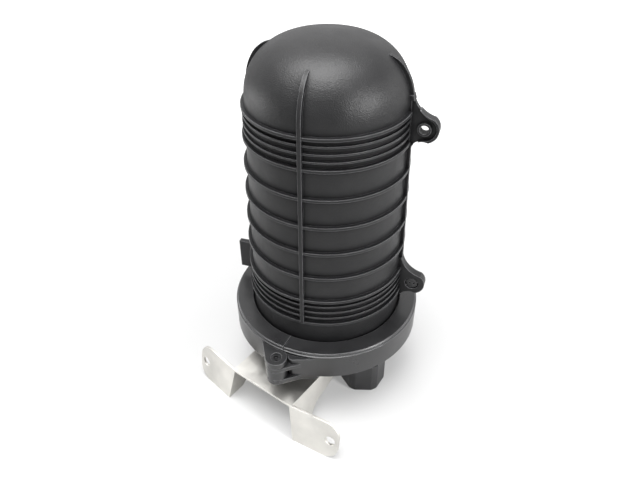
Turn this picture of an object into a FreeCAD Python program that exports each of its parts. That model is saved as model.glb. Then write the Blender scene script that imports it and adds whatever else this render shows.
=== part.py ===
import FreeCAD, Part
import math
import os
import Sketcher

# Dome splice closure: a ribbed dome and a base with cable ports, held together by a hinged ring clamp,
# standing on its port nuts and on a folded mounting bracket. Lengths are in millimetres, angles in degrees.

DIMENSIONS = [
    ("stand_height", 43.2, "floor to the top of the bracket plate"),
    ("post_height", 32.8, "bracket plate to the underside of the base"),
    ("base_plate", 8.0, "thickness of the base plate"),
    ("flange_radius", 88.0, "outer radius of both flanges"),
    ("base_flange", 10.0, "thickness of the base flange"),
    ("dome_flange", 8.0, "thickness of the dome flange"),
    ("dome_height", 286.2, "seam to the top of the dome"),
    ("dome_wall", 3.0, "wall of the dome"),
    ("draft", 0.0223, "radius lost for each millimetre of height"),
    ("rib_start", 39.8, "seam to the top of the lowest girth rib"),
    ("rib_pitch", 27.4, "girth rib to girth rib"),
    ("rib_radius", 78.3, "rim radius of the lowest girth rib"),
    ("rib_depth", 3.2, "how far a girth rib stands out"),
    ("rib_width", 2.6, "height of a girth rib's rim"),
    ("thin_depth", 2.3, "how far a thin girth rib stands out"),
    ("thin_width", 1.7, "height of a thin girth rib's rim"),
    ("crown_corner", 46.0, "radius of the dome's shoulder"),
    ("crown_rise", 48.3, "centre of the shoulder radius to the top of the dome"),
    ("fin_turn", 19.2, "angle of the fin that carries the lugs"),
    ("fin_width", 3.6, "thickness of an upright fin"),
    ("fin_proud", 0.25, "how far a fin's edge stands outside the rib rims"),
    ("fin_bend", 34.0, "angle on the shoulder where a fin starts to run out"),
    ("fin_runout", 56.0, "angle on the shoulder where a fin runs out"),
    ("fin_end", 26.0, "radius of a fin's run-out"),
    ("lug_radius", 12.5, "outer radius of a hanging lug"),
    ("lug_width", 8.4, "thickness of a hanging lug"),
    ("lug_rim", 2.2, "width of the upper lug's raised rim"),
    ("lug_recess", 2.6, "depth of the recess in the upper lug's faces"),
    ("lug_hole", 4.0, "radius of a lug's hole"),
    ("lug_collar", 1.9, "width of the raised collar round the upper lug's hole"),
    ("lug_sink", 2.6, "depth of the lower lug's counterbores"),
    ("plug_head", 5.6, "radius of the lug plug's heads"),
    ("plug_room", 1.0, "room round a head of the lug plug"),
    ("plug_dimple", 0.9, "radius of the two spanner holes in the lug plug"),
    ("high_lug_reach", 85.0, "axis to the upper lug's hole"),
    ("high_lug_level", 216.6, "seam to the upper lug's hole"),
    ("low_lug_reach", 89.5, "axis to the lower lug's hole"),
    ("low_lug_level", 49.1, "seam to the lower lug's hole"),
    ("block_reach", 96.0, "axis to the outer edge of the block lug"),
    ("block_low", 25.0, "seam to the lower edge of the block lug"),
    ("block_tall", 33.0, "height of the block lug"),
    ("block_width", 5.0, "thickness of the block lug"),
    ("seal_radius", 80.5, "centre line of the O-ring"),
    ("seal_cord", 1.9, "section radius of the O-ring"),
    ("groove_room", 0.05, "room over the O-ring in its groove"),
    ("groove_half", 2.1, "half the width of the O-ring groove"),
    ("clamp_outer", 95.4, "outer radius of the clamp"),
    ("clamp_lip", 77.1, "inner radius of the clamp's lips"),
    ("clamp_low", 17.8, "seam down to the clamp's lower face"),
    ("clamp_high", 14.9, "seam up to the clamp's upper face"),
    ("clamp_gap", 0.3, "room between clamp and flanges"),
    ("clamp_bevel", 3.0, "bevel on the clamp's lower outer edge"),
    ("clamp_bead", 3.2, "height of the set-back bead along the clamp's upper outer edge"),
    ("bead_step", 0.9, "how far the bead is set back"),
    ("clamp_turn", -79.6, "angle of the split between the clamp halves, at the hinge"),
    ("split_half", 0.3, "half the split between the clamp halves, as an angle"),
    ("hinge_stand", 9.2, "clamp's outer wall to the hinge pin"),
    ("hinge_side", 2.0, "how far the hinge pin stands to the left of the split"),
    ("knuckle_radius", 10.3, "outer radius of the hinge knuckles"),
    ("knuckle_room", 1.1, "room round a knuckle in the other half"),
    ("knuckle_gap", 0.7, "gap between two knuckles"),
    ("shoulder_tall", 27.0, "height of the right half's shoulder beside the knuckles"),
    ("shoulder_stand", 5.2, "how far the shoulder stands out from the clamp's wall"),
    ("shoulder_run", 34.0, "split to where the shoulder runs into the clamp's wall"),
    ("knuckle_foot", 1.3, "how far the lowest knuckle's bevelled foot hangs below the clamp"),
    ("knuckle_four", 6.2, "height of the lowest knuckle"),
    ("knuckle_three", 10.8, "height of the third knuckle"),
    ("knuckle_two", 5.0, "height of the second knuckle"),
    ("knuckle_one", 6.0, "height of the top knuckle"),
    ("hinge_pin", 3.0, "radius of the hinge pin"),
    ("hinge_head", 5.0, "radius of the hinge pin's head"),
    ("hinge_head_tall", 4.0, "height of the hinge pin's head"),
    ("hinge_head_drop", 0.8, "how far the hinge pin's head sits below the top knuckle's face"),
    ("running_room", 0.06, "radial room of a pin in its hole"),
    ("latch_stand", 7.6, "clamp's outer wall to the handle pin"),
    ("latch_side", 14.0, "split to the handle pin"),
    ("latch_eye", 5.0, "outer radius of the latch eyes"),
    ("latch_lug", 5.0, "half height of the latch lug"),
    ("handle_pin", 2.2, "radius of the handle pin"),
    ("handle_half", 9.0, "half height of the handle"),
    ("handle_room", 2.9, "room between the clamp's outer wall and the handle's grip"),
    ("handle_wall", 4.6, "thickness of the handle's grip"),
    ("bail_wire", 2.0, "radius of the bail wire"),
    ("bail_half", 12.2, "half the width of the bail, between wire centres"),
    ("bail_lift", 1.5, "how far the bail's pivot stands outside the handle pin"),
    ("bail_side", 23.0, "split to the bail's pivot"),
    ("catch_stand", 4.4, "clamp's outer wall to the bail's crossbar"),
    ("catch_side", 20.0, "split to the bail's crossbar"),
    ("port_circle", 53.6, "axis to a port's centre"),
    ("port_turn", -4.5, "angle of the first round port"),
    ("port_step", 63.0, "angle from port to port"),
    ("port_outer", 18.0, "outer radius of a port tube"),
    ("port_wall", 4.0, "wall of a port tube"),
    ("port_rise", 22.0, "floor to the end of a port tube"),
    ("nut_height", 38.0, "height of a port nut"),
    ("nut_flats", 44.8, "port nut across flats"),
    ("nut_round", 24.0, "radius that rounds off a port nut's corners"),
    ("nut_bevel", 2.0, "bevel on a port nut's lower edge"),
    ("nut_floor", 6.0, "thickness of a port nut's end"),
    ("cable_radius", 9.0, "radius of the cable way through nut and seal"),
    ("fit_room", 0.1, "room between fitted parts that stay still"),
    ("blank_length", 74.0, "length of a blanking plug"),
    ("oval_half_long", 23.0, "half the length of the oval port"),
    ("oval_radius", 13.0, "end radius of the oval port"),
    ("oval_rise", 14.0, "floor to the end of the oval port"),
    ("cap_height", 22.0, "height of the oval port's cap"),
    ("sheet", 2.5, "thickness of the bracket's sheet"),
    ("plate_half", 38.6, "half the width of the bracket plate"),
    ("plate_front", 109.9, "axis to the front edge of the bracket plate"),
    ("plate_back", 30.0, "axis to the back edge of the bracket plate"),
    ("leg_splay", 7.7, "how far a leg's foot stands out from the plate"),
    ("leg_lean", 6.1, "how far a leg's foot stands forward of the plate"),
    ("leg_heel", 96.0, "axis to where a leg's lower edge starts to rise"),
    ("leg_knee", 75.0, "axis to where a leg's lower edge eases off"),
    ("leg_knee_level", 18.0, "height of a leg's lower edge where it eases off"),
    ("leg_rise", 27.5, "height of a leg's lower edge at the back"),
    ("ear_turn", 7.9, "angle by which an ear is bent back"),
    ("ear_reach", 92.6, "middle to the end of an ear"),
    ("ear_corner", 15.0, "corner radius of an ear"),
    ("ear_hole", 5.3, "radius of an ear's hole"),
    ("ear_hole_side", 83.8, "middle to an ear's hole"),
    ("ear_hole_level", 22.5, "floor to an ear's hole"),
    ("screw_side", 24.0, "middle to a bracket screw"),
    ("screw_front", 62.0, "axis to the front bracket screws"),
    ("screw_step", 22.0, "front to rear bracket screws"),
    ("screw_radius", 3.0, "radius of a bracket screw"),
    ("screw_length", 22.0, "length of a bracket screw"),
    ("screw_head", 4.0, "height of a bracket screw's head"),
    ("screw_flats", 10.0, "bracket screw across flats"),
    ("washer_radius", 7.5, "radius of a bracket washer"),
    ("washer_wall", 1.2, "thickness of a bracket washer"),
    ("boss_radius", 8.0, "radius of a screw boss"),
    ("frame_half", 25.0, "half the width of the tray frame"),
    ("frame_front", 20.0, "axis to the front of the tray frame"),
    ("frame_sheet", 2.0, "sheet of the tray frame and cable clamps"),
    ("window_low", 46.0, "seam to the lowest window in the tray frame"),
    ("window_tall", 52.0, "height of a window in the tray frame"),
    ("window_pitch", 66.0, "window to window"),
    ("frame_over", 10.0, "how far the tray frame stands over the trays"),
    ("frame_foot", 20.0, "depth of the tray frame's foot"),
    ("holder_half", 21.0, "half the width of the tray holder"),
    ("holder_wall", 5.2, "side wall of the tray holder"),
    ("holder_low", 6.0, "seam to the underside of the tray holder"),
    ("holder_tall", 24.0, "height of the tray holder"),
    ("tray_half", 50.0, "half the width of a splice tray"),
    ("tray_tall", 190.0, "height of a splice tray"),
    ("tray_deep", 9.5, "depth of a splice tray"),
    ("tray_pitch", 11.5, "tray to tray"),
    ("tray_level", 36.0, "seam to the lower edge of the trays"),
    ("tray_wall", 1.6, "wall of a splice tray"),
    ("tray_corner", 14.0, "corner radius of a splice tray"),
    ("tongue_half", 15.0, "half the width of a tray's hinge tongue"),
    ("tongue_deep", 5.0, "thickness of a tray's hinge tongue"),
    ("tray_pin", 1.5, "radius of a tray pin"),
    ("tray_pin_level", 22.0, "seam to the tray pins"),
    ("cover_sheet", 1.6, "thickness of the tray cover"),
    ("strap_sheet", 1.2, "thickness of the tray strap"),
    ("strap_wide", 12.0, "width of the tray strap"),
    ("strap_drop", 16.0, "top of the trays down to the lower edge of the strap"),
    ("basket_half", 34.0, "half the width of the loop basket"),
    ("basket_deep", 20.0, "depth of the loop basket"),
    ("basket_tall", 130.0, "height of the loop basket"),
    ("basket_level", 64.0, "seam to the lower edge of the basket"),
    ("basket_wall", 1.8, "wall of the loop basket"),
    ("grip_side", 34.0, "middle to the upright of a cable clamp"),
    ("grip_half", 8.0, "half the width of a cable clamp"),
    ("grip_tall", 22.0, "height of a cable clamp"),
    ("grip_foot", 12.4, "foot of a cable clamp"),
    ("small_screw", 2.0, "radius of the small screws"),
    ("small_head", 3.6, "radius of a small screw's head"),
    ("small_length", 6.0, "length of a small screw below its head"),
    ("axis_shift", 6.28, "origin to the closure's axis towards the back, so that the footprint is centred"),
    ("side_shift", -1.15, "origin to the closure's axis towards the right, for the same reason"),
]

MAIN_RIBS = 8
THIN_RIBS = 3
FINS = 4
TRAYS = 4
PORTS = 4
SPLICE_RIBS = 7
WINDOWS = 3

doc = FreeCAD.newDocument("DomeSpliceClosure")
sheet = doc.addObject("Spreadsheet::Sheet", "Size")
for row, (alias, number, meaning) in enumerate(DIMENSIONS, start=1):
    sheet.set("A%d" % row, meaning)
    sheet.set("B%d" % row, str(number))
    sheet.setAlias("B%d" % row, alias)
doc.recompute()

# Levels and radii that several pieces share, as expressions on the sheet

UNDERSIDE = "(Size.stand_height + Size.post_height)"
SEAM = "(%s + Size.base_plate)" % UNDERSIDE
FLANGE_LOW = "(%s - Size.base_flange)" % SEAM
FLANGE_TOP = "(%s + Size.dome_flange)" % SEAM
CLAMP_LOW = "(%s - Size.clamp_low)" % SEAM
CLAMP_TOP = "(%s + Size.clamp_high)" % SEAM
CLAMP_MIDDLE = "(%s / 2 + %s / 2)" % (CLAMP_LOW, CLAMP_TOP)
FIRST_RIB = "(%s + Size.rib_start)" % SEAM
TOP = "(%s + Size.dome_height)" % SEAM
LATCH_TURN = "(Size.clamp_turn + 180)"
HINGE_REACH = "(Size.clamp_outer + Size.hinge_stand)"
HINGE = (HINGE_REACH, "(-Size.hinge_side)")
LATCH_REACH = "(Size.clamp_outer + Size.latch_stand)"
BAIL_REACH = "(%s + Size.bail_lift)" % LATCH_REACH
CATCH_REACH = "(Size.clamp_outer + Size.catch_stand)"
HANDLE_INNER = "(Size.clamp_outer + Size.handle_room)"
GROOVE_DEPTH = "(2 * Size.seal_cord + Size.groove_room)"
TRAY_TOP = "(%s + Size.tray_level + Size.tray_tall)" % SEAM


def value(expression):
    return float(sheet.evalExpression(expression))


AXIS = FreeCAD.Placement(FreeCAD.Vector(value("Size.side_shift"), value("Size.axis_shift"), 0), FreeCAD.Rotation())


def rim_radius(level):
    return "(Size.rib_radius - Size.draft * (%s - %s))" % (level, FIRST_RIB)


def wall_radius(level, depth="0"):
    return "(%s - Size.rib_depth - %s)" % (rim_radius(level), depth)


# Building blocks


def new_body(name):
    body = doc.addObject("PartDesign::Body", name)
    body.Label = name
    body.setExpression("Placement.Base.x", "Size.side_shift")
    body.setExpression("Placement.Base.y", "Size.axis_shift")
    return body


def edge_between(start, end, radius, side):
    """Line, or arc of the radius whose centre lies to the left (side 1) or right (side -1) of the way."""
    first, last = FreeCAD.Vector(*start, 0), FreeCAD.Vector(*end, 0)
    if radius is None:
        return Part.LineSegment(first, last)
    way = last - first
    left = FreeCAD.Vector(-way.y, way.x, 0).normalize()
    rise = math.sqrt(max(radius ** 2 - (way.Length / 2) ** 2, 0))
    centre = (first + last) / 2 + left * rise * side
    if side < 0:
        first, last = last, first
    angles = [math.atan2(p.y - centre.y, p.x - centre.x) for p in (first, last)]
    circle = Part.Circle(centre, FreeCAD.Vector(0, 0, 1), radius)
    return Part.ArcOfCircle(circle, angles[0], angles[1])


def hold(sketch, kind, name, expression, *where):
    index = sketch.addConstraint(Sketcher.Constraint(kind, *where, value(expression)))
    sketch.renameConstraint(index, name)
    sketch.setExpression("Constraints." + name, expression)


def draw(body, name, plane, outlines=(), circles=(), level="0", turn=None):
    """Sketch of closed outlines and circles, each corner and radius bound to the sheet.

    An outline's corner is (x, y), or (x, y, radius, side) where an arc leaves it. The plane is XY, XZ or YZ.
    Level lifts the sketch off its plane and turn swings it about the closure's axis.
    """
    sketch = body.newObject("Sketcher::SketchObject", body.Name + "_" + name)
    support = [f for f in body.Origin.OriginFeatures if f.Role == plane + "_Plane"][0]
    sketch.AttachmentSupport = (support, [""])
    sketch.MapMode = "FlatFace"
    if level != "0" and plane == "XZ" and turn is not None:
        sketch.setExpression("AttachmentOffset.Base.x", "%s * sin(%s)" % (level, turn))
        sketch.setExpression("AttachmentOffset.Base.z", "%s * cos(%s)" % (level, turn))
    elif level != "0":
        sketch.setExpression("AttachmentOffset.Base.z", level)
    if turn is not None:
        swing = FreeCAD.Vector(0, 0, 1) if plane == "XY" else FreeCAD.Vector(0, 1, 0)
        sketch.AttachmentOffset = FreeCAD.Placement(FreeCAD.Vector(), FreeCAD.Rotation(swing, 1))
        sketch.setExpression("AttachmentOffset.Rotation.Angle", turn)
    for number, corners in enumerate(outlines):
        places = [(value(c[0]), value(c[1])) for c in corners]
        edges = []
        for index, corner in enumerate(corners):
            radius, side = (corner[2], corner[3]) if len(corner) > 2 else (None, 1)
            end = places[(index + 1) % len(places)]
            edge = edge_between(places[index], end, None if radius is None else value(radius), side)
            edges.append((sketch.addGeometry(edge, False), side, radius))
        for index, (geometry, side, radius) in enumerate(edges):
            following = edges[(index + 1) % len(edges)]
            begins = 1 if side > 0 else 2
            sketch.addConstraint(Sketcher.Constraint(
                "Coincident", geometry, 3 - begins, following[0], 1 if following[1] > 0 else 2))
            tag = "%d_%d" % (number, index)
            hold(sketch, "DistanceX", "across_" + tag, corners[index][0], -1, 1, geometry, begins)
            hold(sketch, "DistanceY", "along_" + tag, corners[index][1], -1, 1, geometry, begins)
            if radius is not None:
                hold(sketch, "Radius", "radius_" + tag, radius, geometry)
    for number, (across, along, radius) in enumerate(circles):
        centre = FreeCAD.Vector(value(across), value(along), 0)
        geometry = sketch.addGeometry(Part.Circle(centre, FreeCAD.Vector(0, 0, 1), value(radius)), False)
        hold(sketch, "DistanceX", "middle_x_%d" % number, across, -1, 1, geometry, 3)
        hold(sketch, "DistanceY", "middle_y_%d" % number, along, -1, 1, geometry, 3)
        hold(sketch, "Radius", "round_%d" % number, radius, geometry)
    return sketch


def feature(body, kind, name, sketch, **settings):
    """Feature made from a sketch. A setting is a value, or an expression where it is a string."""
    made = body.newObject("PartDesign::" + kind, body.Name + "_" + name)
    made.Profile = sketch
    for key, setting in settings.items():
        if isinstance(setting, str) and key in ("Length", "Angle"):
            made.setExpression(key, setting)
        else:
            setattr(made, key, setting)
    return made


def pad(body, name, sketch, length, **settings):
    return feature(body, "Pad", name, sketch, Length=length, **settings)


def cut(body, name, sketch, length=None, **settings):
    """Pocket that has to take material away: all the way through where no length is given."""
    doc.recompute()
    before = body.Shape.Volume
    if length is None:
        made = feature(body, "Pocket", name, sketch, Type="ThroughAll", **settings)
    else:
        made = feature(body, "Pocket", name, sketch, Length=length, **settings)
    doc.recompute()
    if body.Shape.Volume >= before:
        raise RuntimeError(made.Name + " takes nothing away")
    return made


def revolve(body, name, sketch, angle="360"):
    made = body.newObject("PartDesign::Revolution", body.Name + "_" + name)
    made.Profile = sketch
    made.ReferenceAxis = (sketch, ["V_Axis"])
    made.setExpression("Angle", angle)
    return made


def polar(radius, angle):
    """Point at a radius and an angle, both expressions."""
    return "(%s * cos(%s))" % (radius, angle), "(%s * sin(%s))" % (radius, angle)


def around(centre, radius, angle):
    """Point on a circle about a centre, all expressions."""
    across, along = polar(radius, angle)
    return "(%s + %s)" % (centre[0], across), "(%s + %s)" % (centre[1], along)


def box_outline(low_x, high_x, low_y, high_y):
    return [(low_x, low_y), (high_x, low_y), (high_x, high_y), (low_x, high_y)]


def rounded_outline(half, low, high, corner):
    """Upright rectangle about the middle line, with four rounded corners."""
    left, right = "(-%s)" % half, half
    inner_left, inner_right = "(%s + %s)" % (left, corner), "(%s - %s)" % (right, corner)
    inner_low, inner_high = "(%s + %s)" % (low, corner), "(%s - %s)" % (high, corner)
    return [
        (inner_left, low), (inner_right, low, corner, 1),
        (right, inner_low), (right, inner_high, corner, 1),
        (inner_right, high), (inner_left, high, corner, 1),
        (left, inner_high), (left, inner_low, corner, 1),
    ]


def group(name, solids):
    """Identical small pieces as one object of separate solids."""
    made = doc.addObject("Part::Feature", name)
    made.Label = name
    made.Shape = Part.makeCompound(solids)
    made.Placement = AXIS
    return made


def rod(radius, low, high, at_x, at_y):
    return Part.makeCylinder(radius, high - low, FreeCAD.Vector(at_x, at_y, low))


def hexagon(flats, low, high, at_x, at_y, turn=0):
    corners = []
    for index in range(7):
        angle = math.radians(60 * index + turn)
        reach = flats / 2 / math.cos(math.radians(30))
        corners.append(FreeCAD.Vector(at_x + reach * math.cos(angle), at_y + reach * math.sin(angle), low))
    return Part.Face(Part.makePolygon(corners)).extrude(FreeCAD.Vector(0, 0, high - low))


# Dome: one shell with girth ribs, four fins, two hanging lugs and a block lug

CORNER_LEVEL = "(%s - Size.crown_rise)" % TOP
CORNER_CENTRE = "(%s - Size.crown_corner)" % wall_radius(CORNER_LEVEL)
SWEEP = "((%s ^ 2 + Size.crown_rise ^ 2 - Size.crown_corner ^ 2) / (2 * (Size.crown_rise - Size.crown_corner)))" % (
    CORNER_CENTRE)


def crown_join(depth):
    """Where the shoulder arc meets the crown arc, at a depth below the outer surface."""
    share = "((%s - %s) / (%s - Size.crown_corner))" % (SWEEP, depth, SWEEP)
    across = "(%s * %s)" % (CORNER_CENTRE, share)
    return across, "(%s - %s + (%s - Size.crown_rise) * %s)" % (TOP, SWEEP, SWEEP, share)


def rib_levels():
    """Top of every girth rib from the base up, with its rim's depth and width."""
    levels = []
    for index in range(MAIN_RIBS):
        levels.append(("%d" % index, "0", "Size.rib_width"))
        if index in (0, MAIN_RIBS - 2):
            for thin in range(1, THIN_RIBS + 1):
                place = "(%d + %d / %d)" % (index, thin, THIN_RIBS + 1)
                levels.append((place, "(Size.rib_depth - Size.thin_depth)", "Size.thin_width"))
    return [("(%s + Size.rib_pitch * %s)" % (FIRST_RIB, place), inset, width) for place, inset, width in levels]


def dome_outline():
    corners = [
        ("Size.flange_radius", SEAM),
        ("Size.flange_radius", FLANGE_TOP),
        (wall_radius(FLANGE_TOP), FLANGE_TOP),
    ]
    for level, inset, width in rib_levels():
        low = "(%s - %s)" % (level, width)
        corners += [
            (wall_radius(low), low),
            ("(%s - %s)" % (rim_radius(low), inset), low),
            ("(%s - %s)" % (rim_radius(level), inset), level),
            (wall_radius(level), level),
        ]
    outer, inner = crown_join("0"), crown_join("Size.dome_wall")
    corners += [
        (wall_radius(CORNER_LEVEL), CORNER_LEVEL, "Size.crown_corner", 1),
        (outer[0], outer[1], SWEEP, 1),
        ("0", TOP),
        ("0", "(%s - Size.dome_wall)" % TOP, "(%s - Size.dome_wall)" % SWEEP, -1),
        (inner[0], inner[1], "(Size.crown_corner - Size.dome_wall)", -1),
        (wall_radius(CORNER_LEVEL, "Size.dome_wall"), CORNER_LEVEL),
        (wall_radius(SEAM, "Size.dome_wall"), SEAM),
    ]
    return corners


def fin_outline():
    """One fin in its upright plane: up the wall, round the shoulder at its own height, then into the crown."""
    low = "(%s - Size.rib_width)" % FIRST_RIB
    half_wall = "(Size.dome_wall / 2)"
    shoulder = "(Size.crown_corner + Size.rib_depth + Size.fin_proud)"
    middle = (CORNER_CENTRE, CORNER_LEVEL)
    bend = around(middle, shoulder, "Size.fin_bend")
    end = around(middle, "Size.crown_corner", "Size.fin_runout")
    buried = around(middle, "(Size.crown_corner - %s)" % half_wall, "Size.fin_runout")
    return [
        (wall_radius(low, half_wall), low),
        ("(%s + Size.fin_proud)" % rim_radius(low), low),
        ("(%s + %s)" % (middle[0], shoulder), CORNER_LEVEL, shoulder, 1),
        (bend[0], bend[1], "Size.fin_end", 1),
        end,
        (buried[0], buried[1], "(Size.crown_corner - %s)" % half_wall, -1),
        (wall_radius(CORNER_LEVEL, half_wall), CORNER_LEVEL),
    ]


def lug_outline(reach, level, inset):
    """Hanging lug: a boss that runs into the fin with a long sweep above and a short one below."""
    middle = (reach, level)
    boss = "(Size.lug_radius - %s)" % inset
    low = "(%s - Size.lug_radius - 5 + %s)" % (level, inset)
    high = "(%s + 2.3 * Size.lug_radius - 2 * %s)" % (level, inset)
    below, above = around(middle, boss, "-70"), around(middle, boss, "50")
    root = "(Size.dome_wall / 2 - 1.6 * %s)" % inset
    edge = "(%s + 0.6 + %s)"
    return [
        (wall_radius(low, root), low),
        (edge % (rim_radius(low), inset), low, "(0.9 * Size.lug_radius + %s)" % inset, -1),
        (below[0], below[1], boss, 1),
        (above[0], above[1], "(2 * Size.lug_radius + %s)" % inset, -1),
        ("(%s + %s)" % (rim_radius(high), inset), high),
        (wall_radius(high, root), high),
    ]


def make_dome():
    body = new_body("dome")
    revolve(body, "shell", draw(body, "profile", "XZ", [dome_outline()]))
    fin = pad(body, "fin", draw(body, "fin_profile", "XZ", [fin_outline()], turn="Size.fin_turn"),
              "Size.fin_width", Midplane=True)
    fins = body.newObject("PartDesign::PolarPattern", "dome_fins")
    fins.Originals = [fin]
    fins.Axis = ([f for f in body.Origin.OriginFeatures if f.Role == "Z_Axis"][0], [""])
    fins.Angle = 360
    fins.Occurrences = FINS
    body.Tip = fins
    lugs = (("high", "Size.high_lug_reach", "Size.high_lug_level"), ("low", "Size.low_lug_reach", "Size.low_lug_level"))
    for word, reach, above in lugs:
        level = "(%s + %s)" % (SEAM, above)
        profile = draw(body, word + "_lug_profile", "XZ", [lug_outline(reach, level, "0")], turn="Size.fin_turn")
        pad(body, word + "_lug", profile, "Size.lug_width", Midplane=True)
        if word == "high":
            recess = [lug_outline(reach, level, "Size.lug_rim")]
            rounds, depth = [(reach, level, "(Size.lug_hole + Size.lug_collar)")], "Size.lug_recess"
        else:
            recess = []
            rounds, depth = [(reach, level, "(Size.plug_head + Size.plug_room)")], "Size.lug_sink"
        for face, side in (("front", "1"), ("back", "-1")):
            sketch = draw(body, "%s_lug_%s_recess" % (word, face), "XZ", recess, rounds,
                          level="(%s * Size.lug_width / 2)" % side, turn="Size.fin_turn")
            cut(body, "%s_lug_%s" % (word, face), sketch, depth, Reversed=side == "-1")
        hole = draw(body, word + "_lug_hole_profile", "XZ", (), [(reach, level, "Size.lug_hole")], turn="Size.fin_turn")
        cut(body, word + "_lug_hole", hole, "(2 * Size.lug_width)", Midplane=True)
    low = "(%s + Size.block_low)" % SEAM
    high = "(%s + Size.block_tall)" % low
    block = box_outline("(%s)" % wall_radius(low, "Size.dome_wall / 2"), "Size.block_reach", low, high)
    profile = draw(body, "block_profile", "XZ", [block], turn="(Size.fin_turn + 180)")
    pad(body, "block", profile, "Size.block_width", Midplane=True)
    return body


# Base: plate with flange, seal groove, spigot, port tubes and screw bosses


def port_centres():
    return [polar("Size.port_circle", "(Size.port_turn + %d * Size.port_step)" % index) for index in range(PORTS)]


def oval_outline(radius):
    """Oval of the given end radius, as long as the oval port's centre lines."""
    straight = "(Size.oval_half_long - Size.oval_radius)"
    left = "(-%s)" % straight
    return [
        (left, "(-%s)" % radius),
        (straight, "(-%s)" % radius, radius, 1),
        ("(%s + %s)" % (straight, radius), "0", radius, 1),
        (straight, radius),
        (left, radius, radius, 1),
        ("(%s - %s)" % (left, radius), "0", radius, 1),
    ]


def screw_places():
    front, rear = "(-Size.screw_front)", "(Size.screw_step - Size.screw_front)"
    return [(side + "Size.screw_side", along) for along in (front, rear) for side in ("-", "")]


def make_base():
    body = new_body("base")
    spigot = wall_radius(SEAM, "(Size.dome_wall + 0.4)")
    groove_out, groove_in = "(Size.seal_radius + Size.groove_half)", "(Size.seal_radius - Size.groove_half)"
    groove_low = "(%s - %s)" % (SEAM, GROOVE_DEPTH)
    skirt = "(Size.clamp_lip - 2)"
    outline = [
        ("0", UNDERSIDE), ("(%s - 4)" % skirt, UNDERSIDE), ("(%s - 4)" % skirt, CLAMP_LOW), (skirt, CLAMP_LOW),
        (skirt, FLANGE_LOW), ("Size.flange_radius", FLANGE_LOW), ("Size.flange_radius", SEAM),
        (groove_out, SEAM), (groove_out, groove_low), (groove_in, groove_low), (groove_in, SEAM),
        (spigot, SEAM), (spigot, "(%s + 6)" % SEAM), ("(%s - 4)" % spigot, "(%s + 6)" % SEAM),
        ("(%s - 4)" % spigot, SEAM), ("0", SEAM),
    ]
    revolve(body, "plate", draw(body, "profile", "XZ", [outline]))
    tubes = [(x, y, "Size.port_outer") for x, y in port_centres()]
    pad(body, "tubes", draw(body, "tube_profile", "XY", (), tubes, level="Size.port_rise"),
        "(%s - Size.port_rise + 1)" % UNDERSIDE)
    pad(body, "oval", draw(body, "oval_profile", "XY", [oval_outline("Size.oval_radius")], level="Size.oval_rise"),
        "(%s - Size.oval_rise + 1)" % UNDERSIDE)
    bosses = [(x, y, "Size.boss_radius") for x, y in screw_places()]
    pad(body, "bosses", draw(body, "boss_profile", "XY", (), bosses, level="Size.stand_height"),
        "(Size.post_height + 1)")
    bores = [(x, y, "(Size.port_outer - Size.port_wall)") for x, y in port_centres()]
    cut(body, "bores", draw(body, "bore_profile", "XY", (), bores), Midplane=True)
    inside = "(Size.oval_radius - 3)"
    cut(body, "oval_bore", draw(body, "oval_bore_profile", "XY", [oval_outline(inside)]), Midplane=True)
    threads = [(x, y, "(Size.screw_radius + 0.05)") for x, y in screw_places()]
    cut(body, "threads", draw(body, "thread_profile", "XY", (), threads, level="Size.stand_height"),
        "(Size.screw_length - Size.sheet - Size.washer_wall + 2)", Reversed=True)
    small = [(x, y, "(Size.small_screw + 0.05)") for x, y in small_screw_places()]
    cut(body, "small_threads", draw(body, "small_thread_profile", "XY", (), small, level=SEAM), "Size.small_length")
    return body


def small_screw_places():
    """Frame screws, then cable clamp screws."""
    frame_y = "(Size.frame_front + Size.frame_sheet + Size.frame_foot / 2)"
    grip_x = "(Size.grip_side - Size.grip_foot / 2)"
    frame = [("(-Size.frame_half / 2)", frame_y), ("(Size.frame_half / 2)", frame_y)]
    return frame + [("(-%s)" % grip_x, GRIP_MIDDLE), (grip_x, GRIP_MIDDLE)]


GRIP_MIDDLE = "(Size.port_circle * sin(Size.port_turn))"


def make_base_seal():
    body = new_body("base_seal")
    centre = "(%s - %s + Size.seal_cord)" % (SEAM, GROOVE_DEPTH)
    revolve(body, "ring", draw(body, "section", "XZ", (), [("Size.seal_radius", centre, "Size.seal_cord")]))
    return body


# Ring clamp: two channel halves with interleaved knuckles, and the latch opposite


def clamp_outline():
    channel_low, channel_top = "(%s - Size.clamp_gap)" % FLANGE_LOW, "(%s + Size.clamp_gap)" % FLANGE_TOP
    channel = "(Size.flange_radius + Size.clamp_gap)"
    step = "(%s - Size.clamp_bead)" % CLAMP_TOP
    bead = "(Size.clamp_outer - Size.bead_step)"
    return [
        ("Size.clamp_lip", CLAMP_LOW), ("(Size.clamp_outer - Size.clamp_bevel)", CLAMP_LOW),
        ("Size.clamp_outer", "(%s + Size.clamp_bevel)" % CLAMP_LOW), ("Size.clamp_outer", step),
        (bead, "(%s + Size.bead_step / 2)" % step), (bead, "(%s - Size.bead_step)" % CLAMP_TOP),
        ("(%s - Size.bead_step)" % bead, CLAMP_TOP),
        ("(Size.clamp_lip + 1)", CLAMP_TOP), ("Size.clamp_lip", "(%s - 1)" % CLAMP_TOP),
        ("Size.clamp_lip", channel_top), (channel, channel_top), (channel, channel_low),
        ("Size.clamp_lip", channel_low),
    ]


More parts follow.
